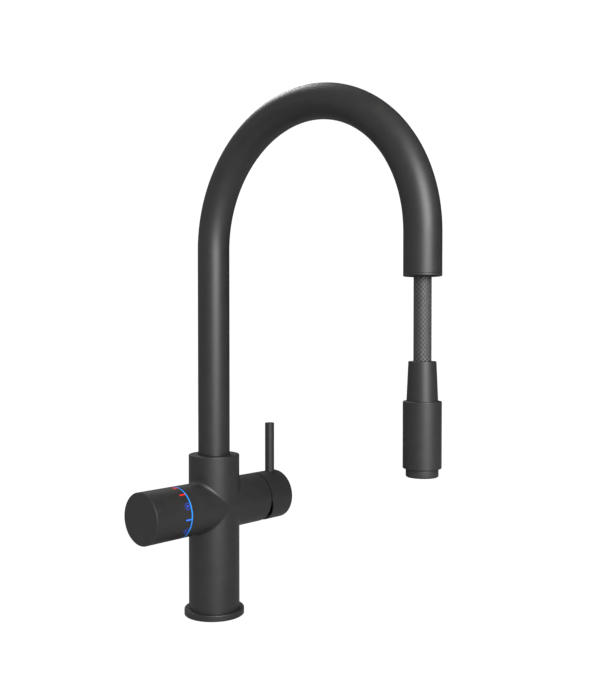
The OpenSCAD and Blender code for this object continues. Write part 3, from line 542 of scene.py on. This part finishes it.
def braid_finish():
    """Nylon braid: fine threads that run along each strand, with painted shade that darkens its edges and where it
    dips under the crossing strand, so that only its crown is pale.
    The strand's UV runs across it from 0 to 1, and along it in crossings."""
    finish, tree, shader = blank_finish("braid_strand", specular=0.65)
    uv = new_node(tree, "UVMap")
    uv.uv_map = "strand"
    parts = new_node(tree, "SeparateXYZ")
    tree.links.new(uv.outputs["UV"], parts.inputs["Vector"])
    threads = step(tree, "SINE", step(tree, "MULTIPLY", parts.outputs["X"], 2 * math.pi * THREADS))
    across = step(tree, "SINE", step(tree, "MULTIPLY", parts.outputs["X"], math.pi))
    over = step(tree, "COSINE", step(tree, "MULTIPLY", parts.outputs["Y"], math.pi))
    # Painted shade: this mask is 1 on the strand's crown and falls to 0 at its edges and where it dips under the
    # crossing strand, and there the strand is painted dark.
    painted_shade_crown_mask = step(tree, "POWER", step(tree, "MULTIPLY", across, half_up(tree, over)), 2.0)
    grain = place_effect(tree, GRAIN, Scale=1300.0)
    mottled = mottle(tree, grain.outputs["Fleck"], grey(0.08), grey(0.105))
    tree.links.new(tint(tree, painted_shade_crown_mask, grey(0.009), mottled), shader.inputs["Base Color"])
    tree.links.new(spread(tree, grain.outputs["Fleck"], 0.38, 0.46), shader.inputs["Roughness"])
    raise_bump(tree, shader, half_up(tree, threads), 0.03 * MM, 0.3)
    return finish


def wound_strand(sign, index):
    """Mesh of one strand: level rows across a closed ribbon that follows a 45 degree helix, over one crossing
    strand and under the next."""
    bottom, top = HOSE_LOW.z, HOSE_HIGH.z
    radius = HOSE_R - STRAND_T / 2 - STRAND_LIFT + BRAID_PROUD
    rise = math.pi * radius / STRANDS
    rows = round((top - bottom) / rise * ROWS_PER_CROSSING)
    width = len(STRAND_SECTION)
    verts, faces, uvs = [], [], []
    for row in range(rows + 1):
        z = bottom + (top - bottom) * row / rows
        for share, height in STRAND_SECTION:
            along = share * STRAND_W * math.sqrt(2)
            crossing = (z - bottom + sign * along / 2) / rise
            turn = crossing + 0.5 + index + (sign < 0)
            lift = STRAND_LIFT * math.cos(math.pi * turn)
            angle = sign * (z - bottom) / radius + 2 * math.pi * index / STRANDS + along / radius
            r = radius + lift + height * STRAND_T
            verts.append((r * math.cos(angle), r * math.sin(angle) + HOSE_Y, z))
            uvs.append((share + 0.5, turn))
    for row in range(rows):
        for k in range(width):
            a, b = row * width + k, row * width + (k + 1) % width
            faces.append((a, b, b + width, a + width))
    faces.append(tuple(range(width)))
    faces.append(tuple(range(rows * width, rows * width + width)))
    return verts, faces, uvs


def add_braid():
    """All strands of the braid as one object."""
    verts, faces, uvs = [], [], []
    for sign in (1, -1):
        for index in range(STRANDS):
            more_verts, more_faces, more_uvs = wound_strand(sign, index)
            start = len(verts)
            verts += more_verts
            uvs += more_uvs
            faces += [tuple(start + k for k in face) for face in more_faces]
    mesh = bpy.data.meshes.new("braid")
    mesh.from_pydata(verts, [], faces)
    layer = mesh.uv_layers.new(name="strand")
    for loop in mesh.loops:
        layer.data[loop.index].uv = uvs[loop.vertex_index]
    mesh.shade_smooth()
    mesh.materials.append(braid_finish())
    braid = bpy.data.objects.new("braid", mesh)
    bpy.context.scene.collection.objects.link(braid)
    face_outward(braid)
    return braid


def add_braided_hose():
    """Free stretch of the hose: a dark core and the strands of its braid."""
    core = upright_tube("hose_braided_free", sides=48, radius=CORE_R, wall=CORE_WALL,
                        bottom=HOSE_LOW.z, top=HOSE_HIGH.z)
    core.data.materials.append(coated_finish("braid_core", grey(0.012), grey(0.02), 0.55, 0.7, 900.0,
                                             grey(0.03), 0.0, 0.0))
    core.data.uv_layers.active.name = "strand"
    braid = add_braid()
    only(core)
    braid.select_set(True)
    bpy.ops.object.join()
    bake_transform(core)
    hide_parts("hose_free")


add_braided_hose()


# ---------- boiling water line in the free hose ----------

LINE_WALL = 0.75 * MM


def add_line_free():
    """Stretch of the boiling water line inside the free hose."""
    low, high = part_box("boiling_line_free")
    line = upright_tube("boiling_line_inner", sides=32, radius=(high.x - low.x) / 2, wall=LINE_WALL,
                        bottom=low.z, top=high.z)
    bpy.ops.object.shade_smooth_by_angle(angle=math.radians(40))
    line.data.materials.append(FINISHES["line_plastic"])
    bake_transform(line)
    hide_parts("boiling_line_free")


add_line_free()


# ---------- neck and aerator ring ----------

NECK_FOOT_Z = RING_HIGH.z
NOZZLE_R = (RING_HIGH.x - RING_LOW.x) / 2

# Half the height and the depth of the line at the joint, and how far the edges' own bevels reach from it
JOINT_LINE = 0.06 * MM
JOINT_REACH = 0.35 * MM

NECK_COAT = coated_finish("neck_coat", (0.012, 0.012, 0.0118), (0.017, 0.017, 0.0167), 0.52, 0.6, 1700.0,
                          grey(0.05), 0.1, 0.02)


def close_joint(name, node):
    """Copy of the neck or of the aerator ring whose edge at their joint is drawn in to a hairline."""
    only(nodes[node])
    bpy.ops.object.duplicate()
    piece = bpy.context.object
    piece.name = name
    piece.parent = None
    del piece["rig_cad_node"]
    bpy.ops.mesh.customdata_custom_splitnormals_clear()
    bpy.ops.object.mode_set(mode="EDIT")
    bpy.ops.mesh.select_all(action="SELECT")
    bpy.ops.mesh.remove_doubles(threshold=0.001 * MM)
    bpy.ops.object.mode_set(mode="OBJECT")
    for vertex in piece.data.vertices:
        rise = vertex.co.z - NECK_FOOT_Z
        out = Vector((vertex.co.x, vertex.co.y - HOSE_Y))
        if abs(rise) > JOINT_REACH or out.length < NOZZLE_R - JOINT_REACH:
            continue
        if abs(rise) > 0.01 * MM:
            vertex.co.z = NECK_FOOT_Z + math.copysign(JOINT_LINE, rise)
        else:
            out *= (NOZZLE_R - JOINT_LINE) / out.length
            vertex.co.x, vertex.co.y = out.x, out.y + HOSE_Y
    bpy.ops.object.shade_smooth_by_angle(angle=math.radians(30))
    piece.data.materials.clear()
    piece.data.materials.append(NECK_COAT)
    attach(piece, "spray_head")
    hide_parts(node)


close_joint("outlet_neck", "nozzle_neck")
close_joint("outlet_ring", "aerator_ring")


# ---------- printed marks of the boiling knob ----------

PRINT_H = 0.05 * MM

# Each mark: distance of its middle from the knob's mouth, and its angle round the knob from the top
TICK_IN = 3.2 * MM
RED_TICK_TURN = 38.3
BLUE_TICK_TURN = 96.3
STEAM_IN, STEAM_TURN = 2.9 * MM, 9.4
CHILLED_IN, CHILLED_TURN = 3.1 * MM, 67.0
SPARKLING_IN, SPARKLING_TURN = 2.9 * MM, 125.0

TICK_L = 6.2 * MM
TICK_W = 1.25 * MM
WAVE_L = 4.6 * MM
WAVE_W = 0.85 * MM
WAVE_GAP = 1.5 * MM
WAVE_SWING = 0.42 * MM
FLAKE_RING = (2.9 * MM, 0.36 * MM)
FLAKE_BAR = (3.1 * MM, 0.4 * MM)
BUBBLE_RING = (2.7 * MM, 0.32 * MM)

# Bubbles: place and radius in mm
BUBBLES = ((0.1, 0.85, 0.55), (-0.75, -0.45, 0.45), (0.8, -0.55, 0.4))


def print_finish(name, dark, light):
    """Print on the coat, with its own tone on the edges."""
    return coated_finish(name, dark, light, 0.42, 0.5, 1400.0, light, 0.0, 0.0)


RED_PRINT = print_finish("red_print", (0.86, 0.012, 0.004), (0.96, 0.016, 0.006))
RED_FADED = print_finish("red_faded_print", (0.6, 0.02, 0.022), (0.72, 0.026, 0.028))
BLUE_PRINT = print_finish("blue_print", (0.02, 0.15, 0.85), (0.03, 0.19, 0.95))
BLUE_FADED = print_finish("blue_faded_print", (0.02, 0.07, 0.62), (0.026, 0.09, 0.74))


def wrap_on_knob(piece, distance, phi):
    """Rolls a flat mark round the knob. Its x runs from the knob's mouth towards its end, its y down the
    front of the knob, and phi is its angle from the top."""
    for vertex in piece.data.vertices:
        x, y, z = vertex.co
        a = math.radians(phi) + y / KNOB_R
        r = KNOB_R + z
        vertex.co = (KNOB_MOUTH_X - distance - x, -r * math.sin(a), VALVE_Z + r * math.cos(a))
    face_outward(piece)
    bpy.ops.object.shade_smooth_by_angle(angle=math.radians(40))


def print_mark(piece, name, finish, distance, phi):
    """Gives a flat mark its thickness, wraps it on the knob and fixes it there."""
    piece.name = name
    settle(piece)
    film = piece.modifiers.new("film", "SOLIDIFY")
    film.thickness = 2 * PRINT_H
    film.offset = 0
    finish_modifiers(piece)
    wrap_on_knob(piece, distance, phi)
    piece.data.materials.append(finish)
    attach(piece, "knob")


def flat_bar(length, width, centre=(0, 0), turn=0.0):
    """Flat bar with rounded ends, cut into strips so that it can be wrapped."""
    bpy.ops.object.select_all(action="DESELECT")
    bpy.ops.mesh.primitive_grid_add(x_subdivisions=10, y_subdivisions=4, size=1, location=(*centre, 0),
                                    rotation=(0, 0, turn))
    bar = bpy.context.object
    bar.scale = (length, width, 1)
    bpy.ops.object.transform_apply(location=False, rotation=False, scale=True)
    round_r = width / 2
    for vertex in bar.data.vertices:
        reach = max(abs(vertex.co.x) - (length / 2 - round_r), 0)
        vertex.co.y *= math.sqrt(max(1 - (reach / round_r) ** 2, 0.05))
    return bar


def flat_ring(radius, width):
    """Flat ring with this outer radius."""
    bpy.ops.object.select_all(action="DESELECT")
    bpy.ops.mesh.primitive_circle_add(vertices=40, radius=radius, fill_type="NOTHING", location=(0, 0, 0))
    ring = bpy.context.object
    bpy.ops.object.mode_set(mode="EDIT")
    bpy.ops.mesh.select_all(action="SELECT")
    bpy.ops.mesh.extrude_edges_move()
    inner = (radius - width) / radius
    bpy.ops.transform.resize(value=(inner, inner, 1))
    bpy.ops.object.mode_set(mode="OBJECT")
    return ring


def flat_dot(radius, centre):
    """Flat round dot."""
    bpy.ops.object.select_all(action="DESELECT")
    bpy.ops.mesh.primitive_circle_add(vertices=20, radius=radius, fill_type="TRIFAN", location=(*centre, 0))
    return bpy.context.object


def join_flat(shapes):
    """Joins flat shapes into one object at the origin."""
    for shape in shapes:
        settle(shape)
    bpy.ops.object.select_all(action="DESELECT")
    for shape in shapes:
        shape.select_set(True)
    bpy.context.view_layer.objects.active = shapes[0]
    bpy.ops.object.join()
    return bpy.context.object


def add_marks():
    """From the top of the knob down its front: a steam sign, the red tick, a ringed sign for chilled water,
    the blue tick and a ringed sign for sparkling water."""
    print_mark(flat_bar(TICK_L, TICK_W), "tick_red", RED_PRINT, TICK_IN, RED_TICK_TURN)
    print_mark(flat_bar(TICK_L, TICK_W), "tick_blue", BLUE_PRINT, TICK_IN, BLUE_TICK_TURN)

    waves = []
    for k in (-1, 0, 1):
        wave = flat_bar(WAVE_L, WAVE_W, (0, k * WAVE_GAP))
        for vertex in wave.data.vertices:
            vertex.co.y += WAVE_SWING * math.sin(vertex.co.x / WAVE_L * 2 * math.pi)
        waves.append(wave)
    print_mark(join_flat(waves), "sign_steam", RED_FADED, STEAM_IN, STEAM_TURN)

    flake = [flat_ring(*FLAKE_RING)]
    for k in range(3):
        flake.append(flat_bar(*FLAKE_BAR, turn=math.radians(60 * k + 30)))
    print_mark(join_flat(flake), "sign_chilled", BLUE_FADED, CHILLED_IN, CHILLED_TURN)

    bubbles = [flat_ring(*BUBBLE_RING)]
    for x, y, r in BUBBLES:
        bubbles.append(flat_dot(r * MM, (x * MM, y * MM)))
    print_mark(join_flat(bubbles), "sign_sparkling", BLUE_FADED, SPARKLING_IN, SPARKLING_TURN)


add_marks()
